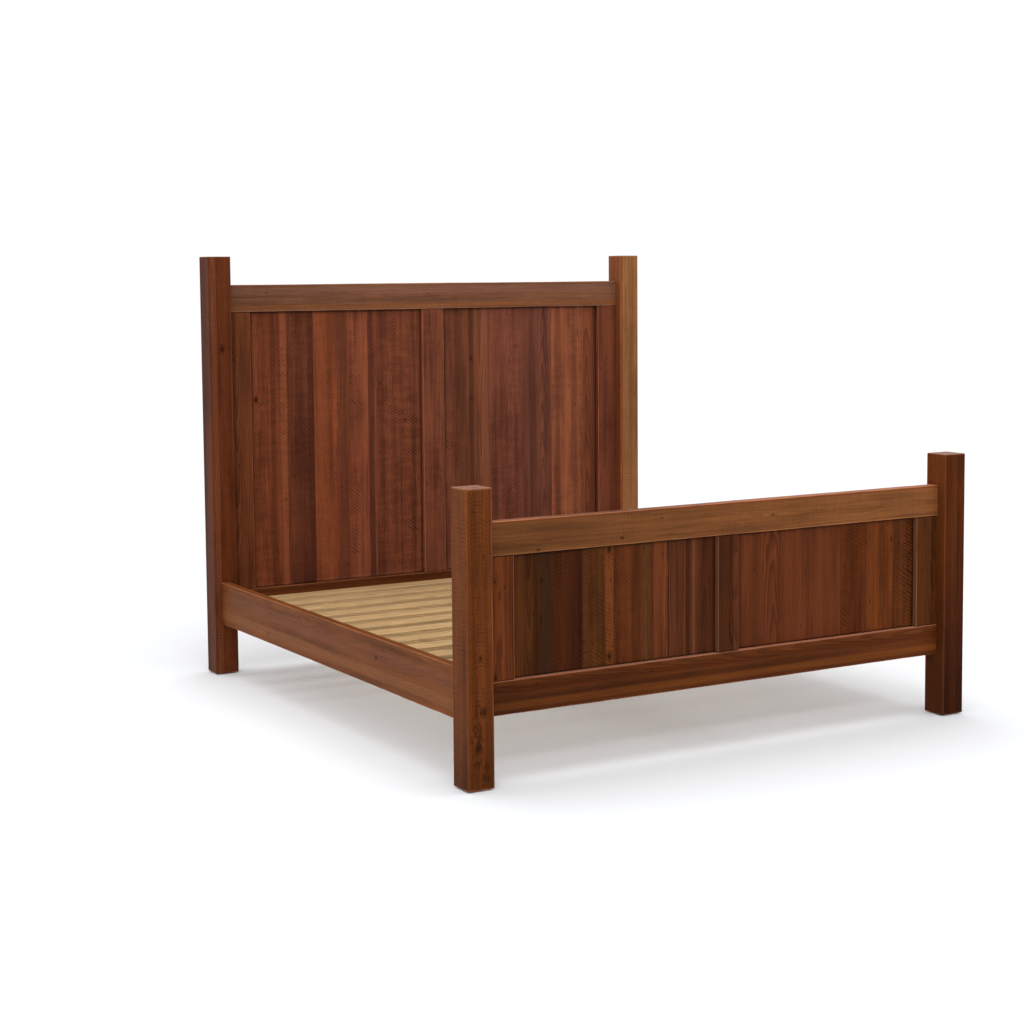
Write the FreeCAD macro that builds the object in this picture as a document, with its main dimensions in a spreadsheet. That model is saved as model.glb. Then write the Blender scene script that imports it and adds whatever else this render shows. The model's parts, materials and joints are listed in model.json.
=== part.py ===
import FreeCAD, Part
import os
import re
import Sketcher
from FreeCAD import Rotation, Vector

# A rustic king-size panel bed: four square posts, a frame-and-panel headboard and
# footboard, hook-on side rails, and a slatted deck on a centre beam with levelled legs.
# +X is to the right seen from the foot, +Y points to the head, +Z is up. The origin is
# on the floor, in the middle of the bed.

SIZES = {
    # overall: a 1930 x 2032 mattress fits between the side rails and the posts
    "bed_length": 2250,
    "bed_width": 2108,
    "post_side": 98,
    "foot_high": 975,
    "head_high": 1730,
    "edge_round": 3,
    # glides under the posts: a nylon disc with a nail
    "glide_radius": 28,
    "glide_thick": 4,
    "nail_radius": 2,
    "nail_long": 26,
    # frame-and-panel work of the headboard and the footboard
    "frame_setback": 38,
    "frame_thick": 44,
    "rail_tall": 113,
    "low_rail_base": 228,
    "foot_rail_top": 860,
    "head_rail_top": 1614,
    "foot_stile_wide": 100,
    "foot_middle_wide": 90,
    "head_stile_wide": 98,
    "head_middle_wide": 106,
    "board_thick": 14,
    "board_recess": 19,
    "groove_deep": 12,
    "tongue_thick": 5,
    "tongue_long": 6,
    # tenons of the rails in the posts
    "tenon_long": 42,
    "tenon_thick": 20,
    "tenon_shoulder": 14,
    # side rails and ledgers
    "side_rail_tall": 175,
    "side_rail_thick": 35,
    "side_rail_base": 211,
    "side_rail_inset": 30,
    "ledger_wide": 32,
    "ledger_tall": 40,
    "ledger_gap": 24,
    # slatted deck
    "deck_base": 300,
    "slat_wide": 89,
    "slat_thick": 19,
    "slat_end_gap": 3,
    "slat_pitch": 157,
    # centre beam, its hangers and its legs
    "beam_wide": 38,
    "beam_tall": 72,
    "hanger_steel": 3,
    "hanger_long": 45,
    "hanger_flange": 28,
    "hanger_tall": 58,
    "hanger_low_screw": 18,
    "hanger_high_screw": 43,
    "leg_wide": 70,
    "leg_deep": 60,
    "leg_base": 22,
    "leg_lap": 48,
    "leg_pitch": 460,
    "first_leg": 180,
    # levelling glides of the legs
    "foot_radius": 20,
    "foot_thick": 8,
    "stem_radius": 4.95,
    "stem_long": 50,
    "insert_bore": 5,
    "insert_radius": 8,
    "insert_long": 22,
    "insert_flange": 13,
    "insert_flange_thick": 2,
    "stem_room_radius": 6,
    "stem_room_long": 70,
    "collar_radius": 9,
    "collar_thick": 5,
    # hook-and-slot fittings between the side rails and the posts
    "plate_tall": 150,
    "plate_wide": 20,
    "plate_steel": 3,
    "hook_steel": 4,
    "hook_reach": 11,
    "hook_neck": 16,
    "hook_drop": 10,
    "hook_spacing": 80,
    "hook_play": 0.2,
    "hook_entry_play": 2,
    "slot_wide": 5,
    "slot_pocket_deep": 14,
    "slot_pocket_wide": 12,
    # screws and bolts
    "screw_radius": 2,
    "screw_head": 4,
    "screw_head_thick": 3,
    "plate_screw_long": 24,
    "plate_screw_inset": 8,
    "slat_screw_long": 38,
    "ledger_screw_long": 50,
    "hanger_screw_long": 22,
    "bolt_radius": 4,
    "bolt_head": 9,
    "bolt_head_thick": 4,
    "nut_radius": 7.5,
    "nut_thick": 6,
    "washer_radius": 9,
    "washer_thick": 1.5,
    "bolt_tail": 10,
}

# Widths of the panel boards from left to right; the last board of each panel takes the rest.
BOARD_WIDTHS = {
    "foot_left": (156, 138, 105, 157, 64),
    "foot_right": (468, 127, 120),
    "head_left": (179, 112, 162, 131),
    "head_right": (86, 150, 178, 149, 173),
}

SLAT_COUNT = 13
LEG_COUNT = 3

LEFT, RIGHT = -1, 1
FOOT, HEAD = -1, 1
SIDES = {LEFT: "left", RIGHT: "right"}
ENDS = {FOOT: "foot", HEAD: "head"}

doc = FreeCAD.newDocument("panel_bed")
sheet = doc.addObject("Spreadsheet::Sheet", "Sizes")
board_cells = {
    f"{panel}_board_{number}": width
    for panel, widths in BOARD_WIDTHS.items()
    for number, width in enumerate(widths, start=1)
}
for row, (word, value) in enumerate({**SIZES, **board_cells}.items(), start=1):
    sheet.set(f"A{row}", word)
    sheet.set(f"B{row}", str(value))
    sheet.setAlias(f"B{row}", word)
doc.recompute()

nodes = {}

def cells(formula):
    """The formula with each size word pointing at its cell in the sheet."""
    return re.sub(r"[a-z]\w*", lambda word: "Sizes." + word.group(), str(formula))


def node(label, piece):
    """Names a finished sub-part, which is written to a file of that name."""
    piece.Label = label
    nodes[label] = piece
    return piece


def stretch(side, near, far):
    """Low and high ends of a stretch between two distances from the centre, on one side."""
    if side > 0:
        return f"({near})", f"({far})"
    return f"-({far})", f"-({near})"


def centred(wide, middle="0"):
    return f"({middle}) - ({wide}) / 2", f"({middle}) + ({wide}) / 2"


# ---- solids and booleans

TURNS = {
    "+x": Rotation(Vector(0, 1, 0), 90),
    "-x": Rotation(Vector(0, 1, 0), -90),
    "+y": Rotation(Vector(1, 0, 0), -90),
    "-y": Rotation(Vector(1, 0, 0), 90),
    "+z": Rotation(),
    "-z": Rotation(Vector(1, 0, 0), 180),
}


def block(name, x, y, z):
    """A box between the low and high formulas of each axis."""
    solid = doc.addObject("Part::Box", name)
    spans = (("Length", "x", x), ("Width", "y", y), ("Height", "z", z))
    for size, letter, (low, high) in spans:
        solid.setExpression(size, cells(f"({high}) - ({low})"))
        solid.setExpression(f"Placement.Base.{letter}", cells(low))
    return solid


def turned(kind, name, at, way, **sizes):
    """A Part primitive that starts at a point and runs along one of the six ways."""
    solid = doc.addObject(kind, name)
    solid.Placement = FreeCAD.Placement(Vector(), TURNS[way])
    for letter, formula in zip("xyz", at):
        solid.setExpression(f"Placement.Base.{letter}", cells(formula))
    for size, formula in sizes.items():
        solid.setExpression(size, cells(formula))
    return solid


def rod(name, at, way, radius, length):
    return turned("Part::Cylinder", name, at, way, Radius=radius, Height=length)


def fuse(name, pieces):
    joined = doc.addObject("Part::MultiFuse", name)
    joined.Shapes = pieces
    return joined


def cut(name, base, tools):
    result = doc.addObject("Part::Cut", name)
    result.Base = base
    result.Tool = tools[0] if len(tools) == 1 else fuse(name + "_tools", tools)
    return result


def group(name, pieces):
    """Like pieces that share one node, each a solid of its own."""
    together = doc.addObject("Part::Compound", name)
    together.Links = pieces
    return together


def moved(way, distance):
    """The x, y and z shifts of a move along one of the six ways."""
    signed = f"({distance})" if way[0] == "+" else f"-({distance})"
    return tuple(signed if letter == way[1] else "0" for letter in "xyz")


def added(point, shift):
    return tuple(f"({a}) + ({b})" for a, b in zip(point, shift))


def screw(name, at, way, length):
    """A countersunk screw whose flat head is flush at a point and whose tip runs that way."""
    head = turned(
        "Part::Cone", name + "_head", at, way,
        Radius1="screw_head", Radius2="screw_radius", Height="screw_head_thick",
    )
    start = added(at, moved(way, "screw_head_thick"))
    shank = rod(name + "_shank", start, way, "screw_radius", f"{length} - screw_head_thick")
    return fuse(name, [head, shank])


# ---- sketched features

PLANES = {
    "x": ("YZ_Plane", 1),
    "y": ("XZ_Plane", -1),
    "z": ("XY_Plane", 1),
}


def sketch_on(body, name, axis, offset):
    """A sketch across an axis, at an offset along it, on the body's own origin plane."""
    role, normal = PLANES[axis]
    sketch = body.newObject("Sketcher::SketchObject", name)
    plane = next(f for f in body.Origin.OriginFeatures if f.Role == role)
    sketch.AttachmentSupport = [(plane, "")]
    sketch.MapMode = "FlatFace"
    sketch.setExpression("AttachmentOffset.Base.z", cells(f"{normal} * ({offset})"))
    return sketch


def outline(sketch, corners):
    """Closes a polygon whose corners are pairs of formulas, each bound to the sheet."""
    count = len(corners)
    for number in range(count):
        start = Vector(number, number * number, 0)
        after = (number + 1) % count
        sketch.addGeometry(Part.LineSegment(start, Vector(after, after * after, 0)), False)
    for number in range(count):
        sketch.addConstraint(
            Sketcher.Constraint("Coincident", number, 2, (number + 1) % count, 1)
        )
    for number, corner in enumerate(corners):
        for kind, letter, formula in zip(("DistanceX", "DistanceY"), "xy", corner):
            rough = number if letter == "x" else number * number
            index = sketch.addConstraint(
                Sketcher.Constraint(kind, -1, 1, number, 1, float(rough))
            )
            sketch.renameConstraint(index, f"{letter}{number}")
            sketch.setExpression(f"Constraints.{letter}{number}", cells(formula))


def rectangle(sketch, across, up):
    low_across, high_across = across
    low_up, high_up = up
    outline(
        sketch,
        [
            (low_across, low_up),
            (high_across, low_up),
            (high_across, high_up),
            (low_across, high_up),
        ],
    )


def pocketed(body, name, sketch, axis, inward, depth):
    """A pocket of a sketch; inward is +1 or -1 along the axis that the sketch lies across."""
    before = body.Shape.Volume
    cutter = body.newObject("PartDesign::Pocket", name)
    cutter.Profile = sketch
    cutter.setExpression("Length", cells(depth))
    cutter.Reversed = inward == PLANES[axis][1]
    doc.recompute()
    if not body.Shape.Volume < before:
        raise RuntimeError(f"{name} cuts nothing")
    return cutter


def pocket(body, name, axis, face, inward, across, up, depth):
    """A rectangular pocket from a face across an axis."""
    sketch = sketch_on(body, name + "_sketch", axis, face)
    rectangle(sketch, across, up)
    return pocketed(body, name, sketch, axis, inward, depth)


def pad(body, name, sketch, length):
    extruded = body.newObject("PartDesign::Pad", name)
    extruded.Profile = sketch
    extruded.setExpression("Length", cells(length))
    doc.recompute()
    return extruded


def pilot(body, name, axis, face, inward, centre, radius, depth):
    """A round pocket from a face across an axis, for a nail or a screw."""
    sketch = sketch_on(body, name + "_sketch", axis, face)
    sketch.addGeometry(Part.Circle(Vector(), Vector(0, 0, 1), 3), False)
    names = ("across", "up", "radius")
    rules = (
        Sketcher.Constraint("DistanceX", -1, 1, 0, 3, 0.0),
        Sketcher.Constraint("DistanceY", -1, 1, 0, 3, 0.0),
        Sketcher.Constraint("Radius", 0, 3.0),
    )
    for rule, word, formula in zip(rules, names, (*centre, radius)):
        sketch.renameConstraint(sketch.addConstraint(rule), word)
        sketch.setExpression(f"Constraints.{word}", cells(formula))
    return pocketed(body, name, sketch, axis, inward, depth)


def placed(body, x, y, z):
    for letter, formula in zip("xyz", (x, y, z)):
        body.setExpression(f"Placement.Base.{letter}", cells(formula))
    return body


# ---- places that several pieces share

POST_MIDDLE_X = "(bed_width / 2 - post_side / 2)"
POST_MIDDLE_Y = "(bed_length / 2 - post_side / 2)"
BETWEEN_POSTS_X = "(bed_width / 2 - post_side)"
BETWEEN_POSTS_Y = "(bed_length / 2 - post_side)"

# the frame-and-panel work across a post, measured from the middle of the post
FRAME_FRONT = "(frame_setback - post_side / 2)"
FRAME_MIDDLE = f"({FRAME_FRONT} + frame_thick / 2)"
BOARD_FRONT = f"({FRAME_FRONT} + board_recess)"
BOARD_MIDDLE = f"({BOARD_FRONT} + board_thick / 2)"

RAIL_OUTSIDE = "(bed_width / 2 - side_rail_inset)"
RAIL_INSIDE = f"({RAIL_OUTSIDE} - side_rail_thick)"
RAIL_MIDDLE_X = f"({RAIL_OUTSIDE} - side_rail_thick / 2)"
RAIL_MIDDLE_Z = "(side_rail_base + side_rail_tall / 2)"

LOW_RAIL_TOP = "(low_rail_base + rail_tall)"
BEAM_BASE = "(deck_base - beam_tall)"
DECK_TOP = "(deck_base + slat_thick)"
LEDGER_MIDDLE_X = f"({RAIL_INSIDE} - ledger_wide / 2)"
BOLT_HEIGHT = f"({BEAM_BASE} + leg_lap / 2)"

PLATE_SCREW_REACH = "(plate_tall / 2 - plate_screw_inset)"
PLATE_SCREW_HEIGHTS = (f"-{PLATE_SCREW_REACH}", "0", PLATE_SCREW_REACH)
HOOK_MIDDLES = ("-hook_spacing / 2", "hook_spacing / 2")


def along(end, offset):
    """The y of a point measured from the middle of the posts at the foot or the head."""
    return f"{end} * {POST_MIDDLE_Y} + {offset}"


def frame_depth(end):
    return along(end, FRAME_FRONT), along(end, f"{FRAME_FRONT} + frame_thick")


def board_depth(end):
    return along(end, BOARD_FRONT), along(end, f"{BOARD_FRONT} + board_thick")


def slat_middle(number):
    return f"{number - (SLAT_COUNT - 1) / 2} * slat_pitch"


def leg_middle(number):
    return f"{number} * leg_pitch - first_leg"


# ---- posts and their glides


def top_rail_base(end):
    return "(foot_rail_top - rail_tall)" if end == FOOT else "(head_rail_top - rail_tall)"


def post(side, end):
    """A square post, mortised for two rails and recessed for a slot plate."""
    label = f"{ENDS[end]}_post_{SIDES[side]}"
    body = doc.addObject("PartDesign::Body", label)
    section = sketch_on(body, label + "_section", "z", "0")
    rectangle(section, centred("post_side"), centred("post_side"))
    stick = pad(body, label + "_stick", section, f"{ENDS[end]}_high - glide_thick")
    upper_edges = [
        f"Edge{number}"
        for number, edge in enumerate(stick.Shape.Edges, start=1)
        if edge.BoundBox.ZMax > 0.1
    ]
    eased = body.newObject("PartDesign::Fillet", label + "_eased")
    eased.Base = (stick, upper_edges)
    eased.setExpression("Radius", cells("edge_round"))
    doc.recompute()

    inner_face = f"{-side} * post_side / 2"
    for name, base in (("low", "low_rail_base"), ("top", top_rail_base(end))):
        height = (
            f"{base} + tenon_shoulder - glide_thick",
            f"{base} + rail_tall - tenon_shoulder - glide_thick",
        )
        cheeks = centred("tenon_thick", FRAME_MIDDLE)
        pocket(
            body, f"{label}_{name}_mortise", "x", inner_face, side, cheeks, height, "tenon_long"
        )

    bed_face = f"{-end} * post_side / 2"
    plate_x = f"{side} * ({RAIL_MIDDLE_X} - {POST_MIDDLE_X})"
    plate_z = f"{RAIL_MIDDLE_Z} - glide_thick"
    pocket(
        body, label + "_plate_seat", "y", bed_face, end,
        centred("plate_wide", plate_x), centred("plate_tall", plate_z), "plate_steel",
    )
    for number, middle in enumerate(HOOK_MIDDLES):
        room = centred("hook_neck + 2 * (hook_drop + hook_entry_play)", f"{plate_z} + {middle}")
        pocket(
            body, f"{label}_hook_room_{number}", "y", bed_face, end,
            centred("slot_pocket_wide", plate_x), room, "slot_pocket_deep",
        )
    for number, height in enumerate(PLATE_SCREW_HEIGHTS):
        pilot(
            body, f"{label}_pilot_{number}", "y", bed_face, end,
            (plate_x, f"{plate_z} + {height}"), "screw_radius", "plate_screw_long",
        )
    pilot(body, label + "_nail_hole", "z", "0", 1, ("0", "0"), "nail_radius", "nail_long")
    placed(body, f"{side} * {POST_MIDDLE_X}", f"{end} * {POST_MIDDLE_Y}", "glide_thick")
    return node(label, body)


def post_glide(side, end):
    name = f"glide_{ENDS[end]}_{SIDES[side]}"
    at = (f"{side} * {POST_MIDDLE_X}", f"{end} * {POST_MIDDLE_Y}", "0")
    disc = rod(name + "_disc", at, "+z", "glide_radius", "glide_thick")
    nail = rod(name + "_nail", at, "+z", "nail_radius", "glide_thick + nail_long")
    return fuse(name, [disc, nail])


# ---- frame-and-panel headboard and footboard


def cross_rail(label, end, base, groove_height, holes):
    """A rail between two posts, with a tenon at each end and a groove for the boards."""
    length = (f"-{BETWEEN_POSTS_X}", BETWEEN_POSTS_X)
    stick = block(label + "_stick", length, frame_depth(end), (base, f"{base} + rail_tall"))
    tenons = [
        block(
            f"{label}_tenon_{SIDES[side]}",
            stretch(side, BETWEEN_POSTS_X, f"{BETWEEN_POSTS_X} + tenon_long"),
            centred("tenon_thick", along(end, FRAME_MIDDLE)),
            (f"{base} + tenon_shoulder", f"{base} + rail_tall - tenon_shoulder"),
        )
        for side in SIDES
    ]
    groove = block(label + "_groove", length, board_depth(end), groove_height)
    return node(label, cut(label, fuse(label + "_blank", [stick, *tenons]), [groove, *holes]))


def stile(label, end, low, high, grooved_edges):
    """An upright between the two rails, with stub tenons and a groove on each boarded edge."""
    height = (LOW_RAIL_TOP, top_rail_base(end))
    tenon_height = (f"{height[0]} - groove_deep", f"{height[1]} + groove_deep")
    stick = block(label + "_stick", (low, high), frame_depth(end), height)
    tenon = block(label + "_tenon", (low, high), board_depth(end), tenon_height)
    edges = {"low": (low, f"{low} + groove_deep"), "high": (f"{high} - groove_deep", high)}
    grooves = [
        block(f"{label}_{edge}_groove", edges[edge], board_depth(end), tenon_height)
        for edge in grooved_edges
    ]
    return cut(label, fuse(label + "_blank", [stick, tenon]), grooves)


def boards(panel, end, low, high):
    """The upright tongue-and-groove boards of one panel, from left to right."""
    height = (f"{LOW_RAIL_TOP} - groove_deep", f"{top_rail_base(end)} + groove_deep")
    last = len(BOARD_WIDTHS[panel]) + 1
    tongue_depth = centred("tongue_thick", along(end, BOARD_MIDDLE))
    edge = low
    for number in range(1, last + 1):
        label = f"{panel}_board_{number}"
        left = f"{low} - groove_deep" if number == 1 else edge
        edge = f"{high} + groove_deep" if number == last else f"{edge} + {label}"
        board = block(label + "_plank", (left, edge), board_depth(end), height)
        if number < last:
            lip = (edge, f"{edge} + tongue_long")
            tongue = block(label + "_tongue", lip, tongue_depth, height)
            board = fuse(label + "_tongued", [board, tongue])
        if number > 1:
            slit = (left, f"{left} + tongue_long")
            board = cut(label + "_grooved", board, [block(label + "_slit", slit, tongue_depth, height)])
        node(label, board)


def panelled_end(end):
    """Rails, stiles and boards of the footboard or the headboard."""
    name = ENDS[end]
    top_base = top_rail_base(end)
    top_groove = (top_base, f"{top_base} + groove_deep")
    low_groove = (f"{LOW_RAIL_TOP} - groove_deep", LOW_RAIL_TOP)
    cross_rail(f"{name}_top_rail", end, top_base, top_groove, [])
    cross_rail(f"{name}_bottom_rail", end, "low_rail_base", low_groove, end_hanger_screws[end])
    half_middle = f"{name}_middle_wide / 2"
    opening = f"({BETWEEN_POSTS_X} - {name}_stile_wide)"
    uprights = (
        ("left", f"-{BETWEEN_POSTS_X}", f"-{opening}", ("high",)),
        ("middle", f"-{half_middle}", half_middle, ("low", "high")),
        ("right", opening, BETWEEN_POSTS_X, ("low",)),
    )
    for place, low, high, grooved_edges in uprights:
        label = f"{name}_stile_{place}"
        node(label, stile(label, end, low, high, grooved_edges))
    boards(f"{name}_left", end, f"-{opening}", f"-{half_middle}")
    boards(f"{name}_right", end, half_middle, opening)


# ---- screws and bolts, which are also the cutters of their own holes


def plate_screws(side, end, into_post):
    """The three screws of a slot plate, into the post, or of a hook plate, into the rail."""
    outward = (end == HEAD) == into_post
    way = "+y" if outward else "-y"
    owner = "post" if into_post else "rail"
    return [
        screw(
            f"{owner}_plate_screw_{ENDS[end]}_{SIDES[side]}_{number}",
            (
                f"{side} * {RAIL_MIDDLE_X}",
                f"{end} * {BETWEEN_POSTS_Y}",
                f"{RAIL_MIDDLE_Z} + {height}",
            ),
            way,
            "plate_screw_long",
        )
        for number, height in enumerate(PLATE_SCREW_HEIGHTS)
    ]


def ledger_screws(side):
    way = "+x" if side == RIGHT else "-x"
    gaps = [number + 0.5 - (SLAT_COUNT - 1) / 2 for number in range(SLAT_COUNT - 1)]
    return [
        screw(
            f"ledger_screw_{SIDES[side]}_{number}",
            (
                f"{side} * ({RAIL_INSIDE} - ledger_wide)",
                f"{gap} * slat_pitch",
                "deck_base - ledger_tall / 2",
            ),
            way,
            "ledger_screw_long",
        )
        for number, gap in enumerate(gaps)
    ]


def slat_screws(side):
    return [
        screw(
            f"slat_screw_{SIDES[side]}_{number}",
            (f"{side} * {LEDGER_MIDDLE_X}", slat_middle(number), DECK_TOP),
            "-z",
            "slat_screw_long",
        )
        for number in range(SLAT_COUNT)
    ]


def hanger_face(end):
    """The y of the rail face that a beam hanger is screwed to."""
    return frame_depth(end)[1] if end == FOOT else frame_depth(end)[0]


def hanger_screws(end):
    side_step = "(beam_wide / 2 + hanger_steel + hanger_flange / 2)"
    heights = (f"{BEAM_BASE} + hanger_low_screw", f"{BEAM_BASE} + hanger_high_screw")
    return [
        screw(
            f"hanger_screw_{ENDS[end]}_{SIDES[side]}_{number}",
            (f"{side} * {side_step}", f"{hanger_face(end)} - {end} * hanger_steel", height),
            "-y" if end == FOOT else "+y",
            "hanger_screw_long",
        )
        for side in SIDES
        for number, height in enumerate(heights)
    ]


def leg_bolt(number):
    """A round-headed bolt through the leg's two cheeks and the beam between them."""
    name = f"leg_bolt_{number}"
    start = ("-leg_wide / 2", leg_middle(number), BOLT_HEIGHT)
    head = rod(name + "_head", start, "-x", "bolt_head", "bolt_head_thick")
    shank = rod(name + "_shank", start, "+x", "bolt_radius", "leg_wide + bolt_tail")
    return fuse(name, [head, shank])


def leg_nut(number):
    """The washer and the hexagon nut on the tail of a leg bolt."""
    name = f"leg_nut_{number}"
    at = ("leg_wide / 2", leg_middle(number), BOLT_HEIGHT)
    seat = added(at, moved("+x", "washer_thick"))
    hexagon = turned(
        "Part::Prism", name + "_hexagon", seat, "+x", Circumradius="nut_radius", Height="nut_thick"
    )
    washer = rod(name + "_washer", at, "+x", "washer_radius", "washer_thick")
    bores = [
        rod(f"{name}_{word}_bore", at, "+x", "bolt_radius", "leg_wide") for word in ("a", "b")
    ]
    return [cut(name + "_nut", hexagon, [bores[0]]), cut(name + "_ring", washer, [bores[1]])]


# ---- side rails, their fittings and the ledgers


def plate_blank(name, side, end, into_post):
    """The steel strip of a slot plate or a hook plate, flush with the face it is let into."""
    inner = BETWEEN_POSTS_Y if into_post else f"{BETWEEN_POSTS_Y} - plate_steel"
    outer = f"{BETWEEN_POSTS_Y} + plate_steel" if into_post else BETWEEN_POSTS_Y
    return block(
        name,
        centred("plate_wide", f"{side} * {RAIL_MIDDLE_X}"),
        stretch(end, inner, outer),
        centred("plate_tall", RAIL_MIDDLE_Z),
    )


def slot_plate(side, end):
    """The post's plate, with a slot for each hook to enter and drop into."""
    name = f"slot_plate_{ENDS[end]}_{SIDES[side]}"
    slots = [
        block(
            f"{name}_slot_{number}",
            centred("slot_wide", f"{side} * {RAIL_MIDDLE_X}"),
            stretch(end, BETWEEN_POSTS_Y, f"{BETWEEN_POSTS_Y} + plate_steel"),
            (
                f"{RAIL_MIDDLE_Z} + {middle} - hook_neck / 2",
                f"{RAIL_MIDDLE_Z} + {middle} + hook_neck / 2 + hook_drop + hook_entry_play",
            ),
        )
        for number, middle in enumerate(HOOK_MIDDLES)
    ]
    blank = plate_blank(name + "_blank", side, end, True)
    return cut(name, blank, slots + post_plate_screws[side, end])


def hook_plate(side, end):
    """The rail's plate: a strip with two hooks that hang in the slots of the post's plate."""
    name = f"hook_plate_{ENDS[end]}_{SIDES[side]}"
    body = doc.addObject("PartDesign::Body", name)
    strip = sketch_on(body, name + "_strip_sketch", "y", "-plate_steel")
    rectangle(strip, centred("plate_wide"), centred("plate_tall"))
    pad(body, name + "_strip", strip, "plate_steel").Reversed = True
    for number, middle in enumerate(HOOK_MIDDLES):
        low = f"{middle} - hook_neck / 2"
        high = f"{middle} + hook_neck / 2"
        inside = "plate_steel + hook_play"
        profile = sketch_on(body, f"{name}_hook_sketch_{number}", "x", "-hook_steel / 2")
        outline(
            profile,
            [
                ("-plate_steel / 2", low),
                (inside, low),
                (inside, f"{low} - hook_drop"),
                ("hook_reach", f"{low} - hook_drop"),
                ("hook_reach", high),
                ("-plate_steel / 2", high),
            ],
        )
        pad(body, f"{name}_hook_{number}", profile, "hook_steel")
    half_turn = 180 if end == FOOT else 0
    body.Placement = FreeCAD.Placement(Vector(), Rotation(Vector(0, 0, 1), half_turn))
    placed(body, f"{side} * {RAIL_MIDDLE_X}", f"{end} * {BETWEEN_POSTS_Y}", RAIL_MIDDLE_Z)
    return cut(name + "_drilled", body, rail_plate_screws[side, end])


def side_rail(side):
    """A side rail with a seat for a hook plate in each end, and the holes of its screws."""
    label = f"side_rail_{SIDES[side]}"
    stick = block(
        label + "_stick",
        stretch(side, RAIL_INSIDE, RAIL_OUTSIDE),
        (f"-{BETWEEN_POSTS_Y}", BETWEEN_POSTS_Y),
        ("side_rail_base", "side_rail_base + side_rail_tall"),
    )
    cutters = list(side_ledger_screws[side])
    for end in ENDS:
        cutters.append(plate_blank(f"{label}_seat_{ENDS[end]}", side, end, False))
        cutters += rail_plate_screws[side, end]
    return node(label, cut(label, stick, cutters))


def ledger(side):
    """The strip inside a side rail that carries the ends of the slats."""
    label = f"ledger_{SIDES[side]}"
    stick = block(
        label + "_stick",
        stretch(side, f"{RAIL_INSIDE} - ledger_wide", RAIL_INSIDE),
        (f"-({BETWEEN_POSTS_Y} - ledger_gap)", f"{BETWEEN_POSTS_Y} - ledger_gap"),
        ("deck_base - ledger_tall", "deck_base"),
    )
    return node(label, cut(label, stick, side_ledger_screws[side] + side_slat_screws[side]))


# ---- slatted deck, centre beam and legs


def slat(number):
    name = f"slat_{number + 1}"
    half_length = f"({RAIL_INSIDE} - slat_end_gap)"
    stick = block(
        name + "_stick",
        (f"-{half_length}", half_length),
        centred("slat_wide", slat_middle(number)),
        ("deck_base", DECK_TOP),
    )
    return cut(name, stick, [side_slat_screws[side][number] for side in SIDES])


def centre_beam():
    stick = block(
        "beam_stick",
        centred("beam_wide"),
        (frame_depth(FOOT)[1], frame_depth(HEAD)[0]),
        (BEAM_BASE, "deck_base"),
    )
    return node("centre_beam", cut("beam", stick, leg_bolts))


def beam_hanger(end):
    """A folded steel hanger: a cradle under the beam's end and two flanges on the rail."""
    name = f"beam_hanger_{ENDS[end]}"
    face = hanger_face(end)
    reach = (face, f"{face} + hanger_long") if end == FOOT else (f"{face} - hanger_long", face)
    skin = (face, f"{face} + hanger_steel") if end == FOOT else (f"{face} - hanger_steel", face)
    half = "beam_wide / 2"
    outside = f"({half} + hanger_steel)"
    top = f"{BEAM_BASE} + hanger_tall"
    floor_plate = block(
        name + "_floor", (f"-{outside}", outside), reach, (f"{BEAM_BASE} - hanger_steel", BEAM_BASE)
    )
    pieces = [floor_plate]
    for side in SIDES:
        cheek = stretch(side, half, outside)
        flange = stretch(side, half, f"{outside} + hanger_flange")
        word = f"{name}_{SIDES[side]}"
        pieces.append(block(word + "_cheek", cheek, reach, (f"{BEAM_BASE} - hanger_steel", top)))
        pieces.append(block(word + "_flange", flange, skin, (BEAM_BASE, top)))
    return node(name, cut(name, fuse(name + "_blank", pieces), end_hanger_screws[end]))


def leg_insert(number):
    """A flanged threaded sleeve in the bottom of a leg."""
    name = f"leg_insert_{number}"
    at = ("0", leg_middle(number), "leg_base")
    sleeve = rod(name + "_sleeve", at, "+z", "insert_radius", "insert_long")
    flange = rod(name + "_flange", at, "+z", "insert_flange", "insert_flange_thick")
    bore = rod(name + "_bore", at, "+z", "insert_bore", "insert_long")
    return cut(name, fuse(name + "_blank", [sleeve, flange]), [bore])


def leg(number):
    """A leg whose forked top straddles the centre beam."""
    label = f"centre_leg_{number + 1}"
    middle = leg_middle(number)
    height = ("leg_base", f"{BEAM_BASE} + leg_lap")
    fork = (BEAM_BASE, height[1])
    depth = centred("leg_deep", middle)
    base = ("0", middle, "leg_base")
    stick = block(label + "_stick", centred("leg_wide"), depth, height)
    cutters = [
        block(label + "_fork", centred("beam_wide"), depth, fork),
        rod(label + "_stem_room", base, "+z", "stem_room_radius", "stem_room_long"),
        rod(label + "_sleeve_room", base, "+z", "insert_radius", "insert_long"),
        rod(label + "_flange_seat", base, "+z", "insert_flange", "insert_flange_thick"),
        leg_bolts[number],
    ]
    return node(label, cut(label, stick, cutters))


def leg_glide(number):
    """A levelling foot: a disc with a hexagon to turn it by, on a threaded stem."""
    label = f"leg_glide_{number + 1}"
    middle = leg_middle(number)
    above = ("0", middle, "foot_thick")
    disc = rod(label + "_disc", ("0", middle, "0"), "+z", "foot_radius", "foot_thick")
    collar = turned(
        "Part::Prism", label + "_collar", above, "+z",
        Circumradius="collar_radius", Height="collar_thick",
    )
    stem = rod(label + "_stem", above, "+z", "stem_radius", "stem_long")
    return node(label, fuse(label, [disc, collar, stem]))


# ---- the whole bed

corners = [(side, end) for end in ENDS for side in SIDES]

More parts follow.
